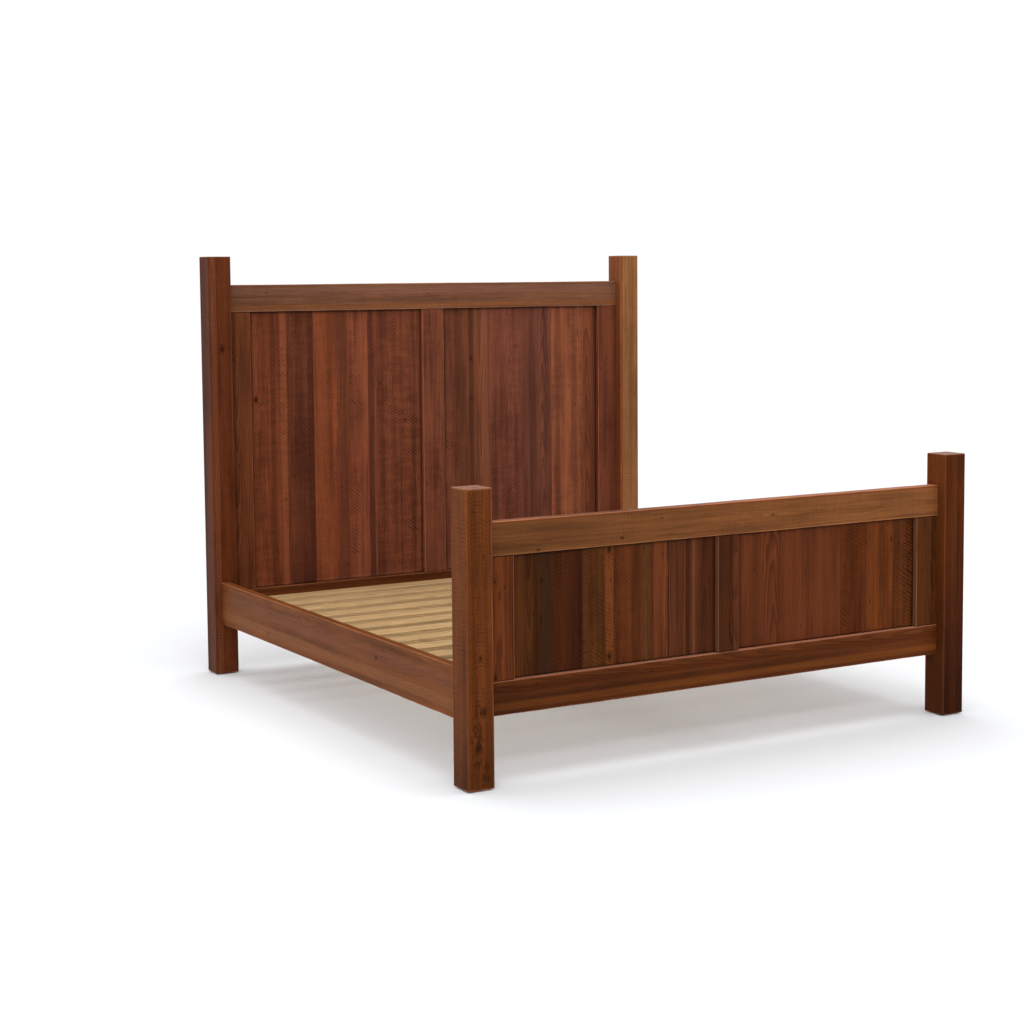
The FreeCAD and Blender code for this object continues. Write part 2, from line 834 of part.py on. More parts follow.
post_plate_screws = {(side, end): plate_screws(side, end, True) for side, end in corners}
rail_plate_screws = {(side, end): plate_screws(side, end, False) for side, end in corners}
side_ledger_screws = {side: ledger_screws(side) for side in SIDES}
side_slat_screws = {side: slat_screws(side) for side in SIDES}
end_hanger_screws = {end: hanger_screws(end) for end in ENDS}
leg_bolts = [leg_bolt(number) for number in range(LEG_COUNT)]

for side, end in corners:
    post(side, end)
for end in ENDS:
    panelled_end(end)
    beam_hanger(end)
for side in SIDES:
    side_rail(side)
    ledger(side)
centre_beam()
for number in range(LEG_COUNT):
    leg(number)
    leg_glide(number)

node("slats", group("slat_set", [slat(number) for number in range(SLAT_COUNT)]))
node("post_glides", group("glide_set", [post_glide(side, end) for side, end in corners]))
node("slot_plates", group("slot_plate_set", [slot_plate(side, end) for side, end in corners]))
node("hook_plates", group("hook_plate_set", [hook_plate(side, end) for side, end in corners]))
node("leg_inserts", group("insert_set", [leg_insert(number) for number in range(LEG_COUNT)]))
node("leg_bolts", group("bolt_set", leg_bolts))
node("leg_nuts", group("nut_set", sum([leg_nut(number) for number in range(LEG_COUNT)], [])))
node("slot_plate_screws", group("slot_screw_set", sum(post_plate_screws.values(), [])))
node("hook_plate_screws", group("hook_screw_set", sum(rail_plate_screws.values(), [])))
node("ledger_screws", group("ledger_screw_set", sum(side_ledger_screws.values(), [])))
node("slat_screws", group("slat_screw_set", sum(side_slat_screws.values(), [])))
node("hanger_screws", group("hanger_screw_set", sum(end_hanger_screws.values(), [])))

doc.recompute()
for item in doc.Objects:
    if {"Invalid", "Error"} & set(item.State):
        raise RuntimeError(f"{item.Label} failed to compute")
for label, piece in nodes.items():
    if piece.Shape.isNull() or not piece.Shape.isValid():
        raise RuntimeError(f"{label} has no valid shape")

os.makedirs("parts", exist_ok=True)
for label, piece in nodes.items():
    piece.Shape.exportStep(f"parts/{label}.step")
print(f"{len(nodes)} nodes, {sum(len(piece.Shape.Solids) for piece in nodes.values())} solids")
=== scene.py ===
"""A rustic reclaimed-wood panel bed: the looks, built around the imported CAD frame.

Each wooden CAD piece is replaced by a worn copy of itself, with the same tenons, grooves and
holes, but rubbed edges and slightly uneven faces, and gets a solid wood material of its own.
Metal and nylon pieces keep their CAD meshes and get better materials. Units are metres.
"""
import json
import math

import bmesh
import bpy
import numpy as np
from mathutils import Matrix, Vector


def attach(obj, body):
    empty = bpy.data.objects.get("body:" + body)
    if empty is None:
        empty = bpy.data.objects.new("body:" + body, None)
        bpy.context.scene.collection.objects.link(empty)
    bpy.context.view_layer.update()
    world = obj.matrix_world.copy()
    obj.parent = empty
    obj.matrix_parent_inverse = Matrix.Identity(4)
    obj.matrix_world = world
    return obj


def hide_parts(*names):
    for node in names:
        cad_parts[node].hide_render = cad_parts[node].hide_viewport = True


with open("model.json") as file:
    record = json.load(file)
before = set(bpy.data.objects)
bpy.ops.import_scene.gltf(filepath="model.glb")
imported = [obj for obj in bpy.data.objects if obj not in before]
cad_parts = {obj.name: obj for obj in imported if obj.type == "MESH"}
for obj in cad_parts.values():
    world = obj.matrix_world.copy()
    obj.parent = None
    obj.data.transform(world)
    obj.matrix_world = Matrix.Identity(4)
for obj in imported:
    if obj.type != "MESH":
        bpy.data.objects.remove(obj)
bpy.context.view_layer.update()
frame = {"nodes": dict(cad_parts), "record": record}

MM = 0.001
TURN = 2 * math.pi
SLOTS = {part["node"]: part["material_slot"] for part in frame["record"]["subparts"]}

# how a stick lies: the axis along its fibres, then the axis across its wide face
UPRIGHT = (2, 0)
CROSSWAYS = (0, 2)
LENGTHWAYS = (1, 2)
FLAT = (0, 1)

# ---------------------------------------------------------------- colours

# what the satin sheen adds to a stained surface, and how brightly the studio lights it
SHEEN = 0.006
LIGHT = 0.86


def srgb(code):
    """The linear colour of a six-digit sRGB code."""
    parts = [int(code[i : i + 2], 16) / 255 for i in (0, 2, 4)]
    return tuple(c / 12.92 if c <= 0.04045 else ((c + 0.055) / 1.055) ** 2.4 for c in parts)


def stain(code):
    """The wood's own colour, from how it looks in the studio's light under a satin sheen."""
    return tuple(max(c - SHEEN, 0.3 * c) / LIGHT for c in srgb(code))


def times(colour, by):
    """A colour made so many times as bright."""
    return tuple(min(c * by, 1.0) for c in colour)


def solid(colour):
    """A colour with full opacity, as a shader socket takes it."""
    return (*colour, 1.0)


WHITE = solid((1.0, 1.0, 1.0))


# ---------------------------------------------------------------- node graphs


class Graph:
    """A writer of shader nodes: each method adds a node and returns its output socket."""

    def __init__(self, name):
        self.material = bpy.data.materials.new(name)
        self.material.use_nodes = True
        self.tree = self.material.node_tree
        self.shader = self.tree.nodes["Principled BSDF"]
        self.place = self.tree.nodes.new("ShaderNodeTexCoord").outputs["Object"]

    def put(self, socket, value):
        if isinstance(value, bpy.types.NodeSocket):
            self.tree.links.new(value, socket)
        elif value is not None:
            socket.default_value = value

    def node(self, kind, inputs, **settings):
        made = self.tree.nodes.new(kind)
        for key, value in settings.items():
            setattr(made, key, value)
        for key, value in inputs.items():
            self.put(made.inputs[key], value)
        return made.outputs[0]

    def math(self, operation, *values):
        return self.node("ShaderNodeMath", dict(enumerate(values)), operation=operation)

    def times(self, a, b):
        return self.math("MULTIPLY", a, b)

    def plus(self, a, b):
        return self.math("ADD", a, b)

    def blend(self, a, by, b):
        """a * by + b."""
        return self.math("MULTIPLY_ADD", a, by, b)

    def vector(self, x, y, z):
        return self.node("ShaderNodeCombineXYZ", {0: x, 1: y, 2: z})

    def noise(self, vector, detail=2.0, roughness=0.55):
        inputs = {"Vector": vector, "Scale": 1.0, "Detail": detail, "Roughness": roughness}
        return self.node("ShaderNodeTexNoise", inputs)

    def range(self, value, start, end, low=0.0, high=1.0):
        """low where the value is at start, high at end, and a smooth change between."""
        inputs = {0: value, 1: start, 2: end, 3: low, 4: high}
        return self.node("ShaderNodeMapRange", inputs, interpolation_type="SMOOTHSTEP")

    def mix(self, factor, a, b, blend_type="MIX"):
        made = self.tree.nodes.new("ShaderNodeMix")
        made.data_type = "RGBA"
        made.blend_type = blend_type
        for index, value in ((0, factor), (6, a), (7, b)):
            self.put(made.inputs[index], value)
        return made.outputs[2]

    def ramp(self, value, stops):
        made = self.tree.nodes.new("ShaderNodeValToRGB")
        elements = made.color_ramp.elements
        while len(elements) < len(stops):
            elements.new(0.5)
        for element, (place, colour) in zip(elements, stops):
            element.position = place
            element.color = solid(colour)
        self.put(made.inputs[0], value)
        return made.outputs[0]

    def attribute(self, name):
        made = self.tree.nodes.new("ShaderNodeAttribute")
        made.attribute_name = name
        return made.outputs["Fac"]

    def finish(self, colour, roughness, height, relief):
        """Links the colour, the roughness and a bump of so many metres."""
        bump = self.node("ShaderNodeBump", {"Height": height, "Distance": relief, "Strength": 1.0})
        self.put(self.shader.inputs["Base Color"], colour)
        self.put(self.shader.inputs["Roughness"], roughness)
        self.put(self.shader.inputs["Normal"], bump)


# ---------------------------------------------------------------- wood

WOOD_RELIEF = 0.5 * MM
WOOD_SHINE = 0.03
# growth rings: their least and greatest spacing, and how far the pith is from the stick's middle
RING_MM = (3.5, 6.0)
PITH_DEPTH = (0.02, 0.07)
# a stick's own pinholes, and the near-black painted shade inside holes and cracks
PINHOLES = 2
PINHOLE = 1.3 * MM
HOLE_SHADE = (0.004, 0.003, 0.002)
CRACK_SHADE = (0.008, 0.005, 0.004)


class Wood(Graph):
    """One stick's stained wood, as a solid texture measured from the stick's middle.

    u runs along the grain, v across the wide face and w through the stick.
    """

    def __init__(self, name, tones, lie, seed, low, high):
        super().__init__(name)
        self.dark, self.middle, self.light = tones
        along, across = lie
        self.length = high[along] - low[along]
        self.width = high[across] - low[across]
        split = self.tree.nodes.new("ShaderNodeSeparateXYZ")
        self.put(split.inputs[0], self.place)
        axes = (along, across, 3 - along - across)
        self.u, self.v, self.w = (
            self.math("SUBTRACT", split.outputs[axis], (low[axis] + high[axis]) / 2)
            for axis in axes
        )
        self.random = np.random.default_rng(seed)
        self.shift = [float(x) for x in self.random.uniform(-40, 40, 3)]
        self.shade = 1.0
        self.height = 0.0
        self.spots = []

    def grain(self, along_rate, across_rate, layer):
        """Noise coordinates with so many features a metre along and across the fibres."""
        return self.vector(
            self.blend(self.u, along_rate, self.shift[0] + layer),
            self.blend(self.v, across_rate, self.shift[1] + layer),
            self.blend(self.w, across_rate, self.shift[2] - layer),
        )

    def from_point(self, at, stretch):
        """Distance from a line through the stick, with lengths along the grain shrunk."""
        du = self.times(self.math("SUBTRACT", self.u, float(at[0]) * self.length), stretch)
        dv = self.math("SUBTRACT", self.v, float(at[1]) * self.width)
        return self.math("SQRT", self.blend(dv, dv, self.times(du, du)))

    def darken(self, mask, amount):
        self.shade = self.times(self.shade, self.blend(mask, -amount, 1.0))

    def rings(self, figure, knots):
        """Growth rings round a wandering pith behind the face, pushed aside by the knots."""
        self.wander = self.noise(self.grain(1.2, 4.0, 0.0))
        self.ragged = self.noise(self.grain(6.0, 26.0, 7.0), 3.0, 0.6)
        pith_v = float(self.random.uniform(-0.5, 0.5)) * self.width
        pith_w = float(self.random.choice((-1, 1)) * self.random.uniform(*PITH_DEPTH))
        tilt = float(self.random.uniform(-0.04, 0.04))
        dv = self.plus(self.v, self.blend(self.wander, 0.10, pith_v - 0.05))
        dw = self.plus(self.w, self.blend(self.u, tilt, pith_w))
        radius = self.math("SQRT", self.blend(dv, dv, self.times(dw, dw)))
        radius = self.blend(self.ragged, 0.006, radius)
        for *at, reach in knots:
            away = self.math("DIVIDE", self.from_point(at, 0.65), reach)
            swell = self.math("POWER", 2.0, self.times(self.times(away, away), -0.3))
            radius = self.blend(swell, reach * 1.4, radius)
            away = self.blend(self.ragged, 1.6, self.plus(away, -0.8))
            self.spots.append((self.range(away, 1.7, 0.5, 0.0, 0.55), times(self.dark, 0.45)))
            self.spots.append((self.range(away, 0.75, 0.3, 0.0, 0.7), times(self.dark, 0.14)))
        spacing = float(self.random.uniform(*RING_MM)) * MM
        ring = self.math("FRACT", self.math("DIVIDE", radius, spacing))
        late = self.math("MULTIPLY", self.range(ring, 0.25, 0.9), self.range(ring, 1.0, 0.93))
        self.darken(late, 0.3 * figure)
        self.late = late

    def colours(self, contrast):
        """Long streaks and blotches of stain between the three tones, and fine fibres."""
        streak = self.noise(self.grain(0.9, 26.0, 11.0), 4.0, 0.6)
        blotch = self.noise(self.grain(3.0, 7.0, 17.0), 3.0)
        tone = self.blend(streak, contrast, self.blend(blotch, 0.45, 0.275 - contrast / 2))
        deepest = times(self.dark, 0.75)
        stops = [(0.22, deepest), (0.4, self.dark), (0.52, self.middle), (0.74, self.light)]
        self.colour = self.ramp(tone, stops)
        self.fibre = self.noise(self.grain(16.0, 560.0, 3.0), 3.0, 0.62)
        strand = self.noise(self.grain(4.0, 150.0, 5.0))
        fine = self.range(self.fibre, 0.28, 0.72, 0.86, 1.12)
        coarse = self.range(strand, 0.3, 0.7, 0.9, 1.08)
        self.shade = self.times(self.shade, self.times(fine, coarse))
        self.height = self.blend(self.late, 0.25, self.times(self.fibre, 0.6))

    def saw_marks(self, slope, curve, pitch, strength, fold=None):
        """Patches of fine saw cuts across the grain: slanted, curved, or folded into a chevron."""
        side = self.v
        if fold is not None:
            side = self.math("ABSOLUTE", self.math("SUBTRACT", self.v, fold * self.width))
        line = self.blend(self.times(side, side), curve, self.blend(side, slope, self.u))
        line = self.blend(self.noise(self.grain(9.0, 5.0, 23.0), 1.0), 3.0 * pitch, line)
        cut = self.range(self.math("SINE", self.times(line, TURN / pitch)), -0.1, 0.95)
        patch = self.range(self.noise(self.grain(2.5, 8.0, 29.0)), 0.3, 0.55)
        faint = self.range(self.noise(self.grain(45.0, 14.0, 31.0), 1.0), 0.36, 0.62, 0.1, 1.0)
        groove = self.times(cut, self.times(patch, faint))
        self.darken(groove, 0.45 * strength)
        self.height = self.blend(groove, -1.2 * strength, self.height)

    def bands(self, bands):
        """Streaks of another colour along the grain: (place, half width, colour, strength)."""
        for place, half, code, strength in bands:
            away = self.math("ABSOLUTE", self.math("SUBTRACT", self.v, place * self.width))
            away = self.blend(self.ragged, half * 0.6, away)
            mask = self.times(self.range(away, half * 1.7, half * 0.9), strength)
            self.colour = self.mix(mask, self.colour, solid(stain(code)))

    def top_highlight(self, code):
        """A painted highlight: the top end of a post made lighter, as where the overhead light falls
        on it.
        """
        top = self.length / 2
        mask = self.range(self.u, top - 3 * MM, top - 1 * MM, 0.0, 0.75)
        self.colour = self.mix(mask, self.colour, solid(stain(code)))

    def drift(self, start, end, amount):
        """A slow darkening along the stick, from one place on its length to another."""
        self.darken(self.range(self.u, start * self.length, end * self.length), amount)

    def nail_holes(self, holes):
        """Old nail holes, each in its iron stain, with painted shade in the hole: the given ones,
        and pinholes anywhere.
        """
        pinholes = [(*self.random.uniform(-0.45, 0.45, 2), PINHOLE) for _ in range(PINHOLES)]
        for *at, reach in (*holes, *pinholes):
            away = self.from_point(at, 0.8)
            halo = self.times(self.range(self.from_point(at, 0.35), reach * 3.4, reach * 0.8), 0.55)
            pit = self.range(away, reach * 1.15, reach * 0.75)
            self.spots += [(halo, times(self.dark, 0.3)), (pit, HOLE_SHADE)]
            self.height = self.blend(pit, -3.0, self.height)

    def cracks(self, cracks):
        """Drying cracks along the grain, their open part painted with shade: (place along, place
        across, half length, width).
        """
        for place_u, place_v, half, width in cracks:
            off = self.plus(self.v, self.blend(self.wander, 0.05, -0.025 - place_v * self.width))
            off = self.math("ABSOLUTE", self.blend(self.ragged, 0.01, self.plus(off, -0.005)))
            along = self.math("ABSOLUTE", self.math("SUBTRACT", self.u, place_u * self.length))
            gape = self.times(self.range(along, half, half * 0.3), width)
            open_part = self.math("LESS_THAN", off, gape)
            self.spots.append((open_part, CRACK_SHADE))
            self.height = self.blend(open_part, -2.5, self.height)

    def rot(self, patches):
        """Curling dark blots of old rot: (place along, place across, half length, half width)."""
        curl = self.noise(self.grain(32.0, 60.0, 43.0), 3.0, 0.6)
        for place_u, place_v, half_u, half_v in patches:
            du = self.math("DIVIDE", self.math("SUBTRACT", self.u, place_u * self.length), half_u)
            dv = self.math("DIVIDE", self.math("SUBTRACT", self.v, place_v * self.width), half_v)
            away = self.math("SQRT", self.blend(du, du, self.times(dv, dv)))
            blot = self.times(self.range(curl, 0.46, 0.6), self.range(away, 1.1, 0.4, 0.0, 0.75))
            self.spots.append((blot, times(self.dark, 0.28)))

    def corner_shade(self, corners):
        """Painted shade in corners, darker towards the edge a neighbour buries: (axis, side, how
        much of the stick its neighbour buries, reach).
        """
        for axis, side, buried, reach in corners:
            place, size = (self.u, self.length) if axis == "u" else (self.v, self.width)
            gap = self.blend(place, -side, size / 2 - buried)
            gap = self.blend(self.ragged, 0.5 * reach, gap)
            self.darken(self.range(gap, 1.4 * reach, 0.4 * reach), 0.6)

    def complete(self, gloss, wear_tone):
        """Edges made paler, from real rubbing mixed with a painted highlight on their rounding, and
        the satin finish.
        """
        shade = self.vector(self.shade, self.shade, self.shade)
        colour = self.mix(1.0, self.colour, shade, "MULTIPLY")
        for mask, spot in self.spots:
            colour = self.mix(mask, colour, solid(spot))
        # painted highlight mixed with wear: the rounded edges are made paler, as where they catch
        # the light
        wear_and_highlight_patches = self.range(self.noise(self.grain(7.0, 24.0, 37.0)), 0.3, 0.62, 0.3, 0.85)
        worn_and_lit_edges = self.times(self.attribute("wear"), wear_and_highlight_patches)
        pale = [channel * wear_tone + 0.03 * (wear_tone - 1) for channel in self.light]
        colour = self.mix(worn_and_lit_edges, colour, solid(pale))
        rough = self.blend(self.fibre, 0.2, self.blend(self.late, -0.06, gloss - 0.1))
        self.finish(colour, rough, self.height, WOOD_RELIEF)
        self.shader.inputs["Specular IOR Level"].default_value = WOOD_SHINE
        return self.material


def around(code, spread=0.3):
    """Dark, middle and light tones round one colour."""
    middle = stain(code)
    red, green, blue = times(middle, 1 + spread)
    return times(middle, 1 - spread), middle, (red, green * 1.04, blue * 0.96)


def wood(
    name, lie, seed, low, high, tone, spread=0.3, figure=1.0, contrast=0.9, saw=None, bands=(),
    knots=(), holes=(), cracks=(), rot=(), top_highlight=None, drift=None, corners=(), gloss=0.45,
    wear_tone=1.8,
):
    """The material of one stick. Places on it are fractions of its size, from its middle."""
    made = Wood(name, around(tone, spread), lie, seed, low, high)
    made.rings(figure * (0.5 if saw else 1.0), knots)
    made.colours(contrast)
    made.bands(bands)
    if top_highlight:
        made.top_highlight(top_highlight)
    if saw:
        made.saw_marks(*saw)
    if drift:
        made.drift(*drift)
    made.corner_shade(corners)
    made.nail_holes(holes)
    made.cracks(cracks)
    made.rot(rot)
    return made.complete(gloss, wear_tone)


# ---------------------------------------------------------------- metal and nylon

STEEL_RELIEF = 0.06 * MM
NYLON_RELIEF = 0.08 * MM


def speckle(graph, rate, detail, seed=0.0):
    """Noise with so many specks a metre."""
    place = {"Vector": graph.place, "Location": (seed, seed, 0.0), "Scale": (rate, rate, rate)}
    return graph.noise(graph.node("ShaderNodeMapping", place), detail, 0.6)


def zinc_steel(seed):
    """Zinc-plated steel: a cloudy, faintly yellow grey with a finely mottled surface."""
    g = Graph(f"zinc_steel_{seed}")
    cloud = speckle(g, 60.0, 3.0, seed)
    stops = [(0.3, (0.33, 0.32, 0.30)), (0.5, (0.50, 0.49, 0.45)), (0.7, (0.62, 0.60, 0.53))]
    colour = g.ramp(cloud, stops)
    roughness = g.blend(cloud, 0.35, 0.18)
    g.finish(colour, roughness, speckle(g, 900.0, 2.0, seed), STEEL_RELIEF)
    g.shader.inputs["Metallic"].default_value = 1.0
    return g.material


def nylon():
    """Dark brown moulded nylon, dull and lightly scuffed."""
    g = Graph("glide_nylon")
    scuff = speckle(g, 260.0, 4.0)
    stops = [(0.35, (0.012, 0.009, 0.007)), (0.7, (0.045, 0.035, 0.028))]
    colour = g.ramp(scuff, stops)
    g.finish(colour, g.blend(scuff, 0.3, 0.35), scuff, NYLON_RELIEF)
    return g.material


# ---------------------------------------------------------------- worn sticks

# cuts near an edge, as shares of its rounding, and the spacing of cuts along a stick
EDGE_CUTS = (0.35, 0.7, 1.0, 2.0)
STEP = 30 * MM
COARSE_STEP = 45 * MM
# points this close are one point, and points this close to the surface are its skin
WELD = 0.01 * MM
SKIN = 0.05 * MM
# the shortest waves in a face's dips and in an edge's chips
FACE_WAVE = 0.35
EDGE_WAVE = 0.06
# faces that turn less than this are one flat face, and edges that turn more stay sharp
FLAT_ANGLE = math.radians(0.5)
SHARP_ANGLE = math.radians(40)


def mesh_lines(low, high, rounding, step):
    """Where to cut a stick across one axis: close together at the rounded edges."""
    margins = [rounding * share for share in EDGE_CUTS] if rounding else []
    edge = margins[-1] if margins else 0.0
    count = max(1, round((high - low - 2 * edge) / step))
    inside = list(np.linspace(low + edge, high - edge, count + 1))
    if not rounding:
        inside = inside[1:-1]
    return [low + m for m in margins[:-1]] + inside + [high - m for m in margins[-2::-1]]


def islands(mesh):
    """The separate solids of a mesh, each as its own bmesh."""
    whole = bmesh.new()
    whole.from_mesh(mesh)
    bmesh.ops.remove_doubles(whole, verts=whole.verts, dist=WELD)
    left = set(whole.verts)
    while left:
        start = min(left, key=lambda vert: vert.index)
        found, queue = {start}, [start]
        while queue:
            for edge in queue.pop().link_edges:
                for vert in edge.verts:
                    if vert not in found:
                        found.add(vert)
                        queue.append(vert)
        left -= found
        part = whole.copy()
        part.verts.ensure_lookup_table()
        whole.verts.index_update()
        keep = {vert.index for vert in found}
        drop = [vert for vert in part.verts if vert.index not in keep]
        bmesh.ops.delete(part, geom=drop, context="VERTS")
        yield part
    whole.free()


def sliced(part, lines):
    """Merges a solid's flat faces and cuts it along the mesh lines of its three axes."""
    bmesh.ops.dissolve_limit(part, angle_limit=FLAT_ANGLE, verts=part.verts, edges=part.edges)
    for axis, places in enumerate(lines):
        way = Vector([1.0 if i == axis else 0.0 for i in range(3)])
        for place in places:
            geometry = part.verts[:] + part.edges[:] + part.faces[:]
            bmesh.ops.bisect_plane(
                part, geom=geometry, dist=WELD, plane_co=way * place, plane_no=way
            )
    return part


def waves(points, random, reach, count=7):
    """A smooth random field between 0 and 1, with waves no shorter than reach."""
    total = np.zeros(len(points))
    for _ in range(count):
        way = random.normal(size=3)
        way /= np.linalg.norm(way)
        length = reach * random.uniform(1.0, 3.5)
        total += np.sin(points @ way * TURN / length + random.uniform(0, TURN))
    return 0.5 + 0.5 * np.tanh(total / count**0.5)


def worn(points, low, high, along, rounding, ends, sag, random):
    """Moves a stick's surface in: rounded, chipped edges and a slightly uneven face.

    Tenons and tongues, which stand outside low and high, stay as they are.
    """
    room = np.minimum(points - low, high - points)
    body = room.min(axis=1) > -SKIN
    margin = np.full(3, rounding)
    if not ends:
        margin[along] = 0.0
        room[:, along] = 1.0
    inner = np.clip(points, low + margin, high - margin)
    out = points - inner
    if not ends:
        out[:, along] = 0.0
    length = np.linalg.norm(out, axis=1)
    over = body & (length > rounding)
    moved = points.copy()
    moved[over] = (inner + out * (rounding / np.maximum(length, 1e-9))[:, None])[over]
    edge = np.sort(room, axis=1)[:, 1]
    near_edge = np.clip(1.0 - edge / (2.4 * rounding), 0.0, 1.0)
    skin = body & (np.sort(room, axis=1)[:, 0] < SKIN)
    dips = waves(points, random, FACE_WAVE) * sag
    inward = dips + near_edge * waves(points, random, EDGE_WAVE) ** 3 * 0.3 * rounding
    way = out / np.maximum(length, 1e-9)[:, None]
    moved[skin] -= (way * inward[:, None])[skin]
    # the second result marks the skin near each edge, for its wear and painted highlight
    return moved, np.clip(1.4 - edge / (0.9 * rounding), 0.0, 1.0) * skin


def stick(
    name, part, low, high, lie, seed, rounding=2.5 * MM, ends=False, sag=0.7 * MM, step=STEP
):
    """A worn copy of one solid, as a new object with its edges' share of wear and painted highlight
    stored on its points.
    """
    random = np.random.default_rng(seed)
    along = lie[0]
    lines = []
    for axis in range(3):
        edge = rounding if axis != along or ends else 0.0
        pitch = step if axis == along else step / 2
        lines.append(mesh_lines(low[axis], high[axis], edge, pitch))
    mesh = bpy.data.meshes.new(name)
    sliced(part, lines).to_mesh(mesh)
    part.free()
    points = np.array([vert.co for vert in mesh.vertices])
    moved, wear = worn(points, low, high, along, rounding, ends, sag, random)
    mesh.vertices.foreach_set("co", moved.astype(np.float32).ravel())
    layer = mesh.attributes.new("wear", "FLOAT", "POINT")
    layer.data.foreach_set("value", wear.astype(np.float32))
    mesh.shade_smooth()
    mesh.set_sharp_from_angle(angle=SHARP_ANGLE)
    mesh.update()
    piece = bpy.data.objects.new(name, mesh)
    bpy.context.scene.collection.objects.link(piece)
    return piece


SHAPE_WORDS = ("rounding", "ends", "sag", "step")
NO_TRIM = ((0, 0, 0), (0, 0, 0))


def timber(node, lie, seed, trim=NO_TRIM, **looks):
    """Replaces a wooden CAD node by worn sticks, one for each of its solids.

    trim is how far tenons and tongues stand out, at the low and at the high side of each axis.
    """
    shape = {word: looks.pop(word) for word in SHAPE_WORDS if word in looks}
    for number, part in enumerate(islands(frame["nodes"][node].data)):
        points = np.array([vert.co for vert in part.verts])
        low = points.min(axis=0) + np.array(trim[0])
        high = points.max(axis=0) - np.array(trim[1])
        name = f"{node}_wood_{number + 1}"
        piece = stick(name, part, low, high, lie, seed + number, **shape)
        box = [float(x) for x in low], [float(x) for x in high]
        piece.data.materials.append(wood(name, lie, seed + number, *box, **looks))
        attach(piece, "bed")
        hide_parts(node)


# ---------------------------------------------------------------- the bed's pieces


def posts():
    """Four square posts. The light one is sawn from younger, yellower timber."""
    # each post's top end gets a painted highlight
    shape = {"rounding": 3.5 * MM, "ends": True, "sag": 0.7 * MM, "top_highlight": "8f6652"}
    timber(
        "foot_post_left", UPRIGHT, 101, **shape, tone="61351d", figure=1.2, wear_tone=2.6,
        saw=(0.12, 9.0, 13 * MM, 0.6),
        # painted shade: the post darkens towards the floor, where less light falls
        drift=(-0.2, -0.5, 0.25),
        knots=((-0.06, 0.0, 9 * MM), (-0.24, 0.12, 11 * MM), (-0.36, -0.1, 13 * MM)),
        rot=(
            (-0.22, 0.0, 0.06, 26 * MM), (-0.34, -0.15, 0.12, 30 * MM), (-0.45, 0.2, 0.05, 20 * MM),
        ),
    )
    timber(
        "foot_post_right", UPRIGHT, 102, **shape, tone="492514",
        saw=(-0.3, 1.0, 11 * MM, 0.4),
        # painted shade: the post darkens towards the floor, where less light falls
        drift=(0.35, -0.5, 0.5),
        bands=((0.0, 14 * MM, "5c311b", 0.5), (-0.5, 5 * MM, "6d3c22", 0.6)),
    )
    timber(
        "head_post_left", UPRIGHT, 103, **shape, tone="552d1d",
        saw=(0.25, 1.0, 11 * MM, 0.5),
        knots=((0.28, 0.05, 13 * MM),),
        bands=((-0.3, 12 * MM, "6d3f2c", 0.6),),
    )
    timber(
        "head_post_right", UPRIGHT, 104, **shape, tone="845838", spread=0.25,
        saw=(0.2, 1.2, 12 * MM, 0.4),
        bands=((-0.45, 8 * MM, "6b3320", 0.7),),
    )


# how far tenons, stub tenons and tongues stand out, and how deep the boards sit in their grooves
TENON = 42 * MM
STUB = 12 * MM
TONGUE = 6 * MM
GROOVE = 12 * MM


def cross_rails():
    """The top and bottom rails between the posts, with a tenon at each end."""
    trim = ((TENON, 0, 0), (TENON, 0, 0))
    shape = {"rounding": 3 * MM, "sag": 1.2 * MM, "trim": trim}
    timber(
        "foot_top_rail", CROSSWAYS, 111, **shape, tone="784b2d", spread=0.22,
        saw=(0.06, 1.5, 12 * MM, 0.4),
        drift=(0.5, -0.5, 0.32),
        knots=((-0.23, -0.3, 5 * MM), (-0.4, -0.42, 6 * MM), (0.1, 0.0, 6 * MM)),
        # of these bands, the pale one at the top edge is a painted highlight on the lit top face
        bands=((0.47, 4 * MM, "6b3320", 0.7), (0.5, 1 * MM, "9a5f48", 0.8)),
    )
    timber(
        "foot_bottom_rail", CROSSWAYS, 112, **shape, tone="58301c", spread=0.28,
        drift=(0.5, -0.5, 0.3),
        bands=(
            (-0.25, 12 * MM, "7a4522", 0.45),
            (0.2, 10 * MM, "4a2614", 0.5),
            # this band is a painted highlight on the lit top ledge
            (0.5, 2.5 * MM, "b57c64", 0.9),
        ),
    )
    timber(
        "head_top_rail", CROSSWAYS, 113, **shape, tone="6e4936", spread=0.22,
        saw=(0.6, 2.0, 11 * MM, 0.3),
        drift=(0.1, -0.5, 0.2),
        bands=((0.25, 16 * MM, "7a5445", 0.5), (-0.35, 10 * MM, "7b4a2c", 0.6)),
    )
    timber("head_bottom_rail", CROSSWAYS, 114, **shape, tone="5c321d")


